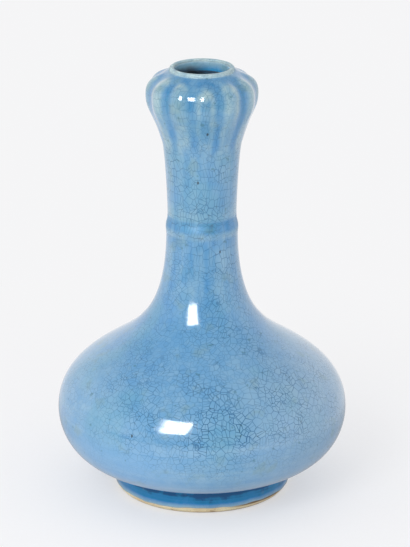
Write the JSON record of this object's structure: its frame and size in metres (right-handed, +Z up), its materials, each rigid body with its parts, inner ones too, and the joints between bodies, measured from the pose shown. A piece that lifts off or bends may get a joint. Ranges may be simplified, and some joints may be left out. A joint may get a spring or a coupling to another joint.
{
  "type": "garlic head vase",
  "caption": "Bottle vase with a squat round belly, slender ringed neck and lobed garlic-shaped head, in crackled pale blue glaze on a bare-rimmed foot ring; holds stems or stands on display.",
  "frame": {"origin": "centre of the circle on which the foot ring stands, on the table", "axes": "+Z up along the vase's axis; -Y is the side that faces the camera in the picture"},
  "size_m": [0.199, 0.199, 0.3],
  "materials": {
    "fired_clay": "bare fired stoneware, orange-buff, dry and slightly rough",
    "fired_slip": "fired joining slip, hidden in the seams",
    "blue_glaze": "glossy pale blue glaze with a fine grey crackle, thin and pale on edges, pooled and darker in recesses",
    "inside_glaze": "glossy turquoise-blue glaze"
  },
  "bodies": {
    "root": {"foot_ring": "fired_clay", "lower_belly": "fired_clay", "upper_belly": "fired_clay", "lower_neck": "fired_clay", "neck_ring": "fired_clay", "upper_neck": "fired_clay", "garlic_head": "fired_clay", "luting_slip": "fired_slip", "outer_glaze": "blue_glaze", "inner_glaze": "inside_glaze", "base_glaze": "inside_glaze"}
  },
  "joints": []
}
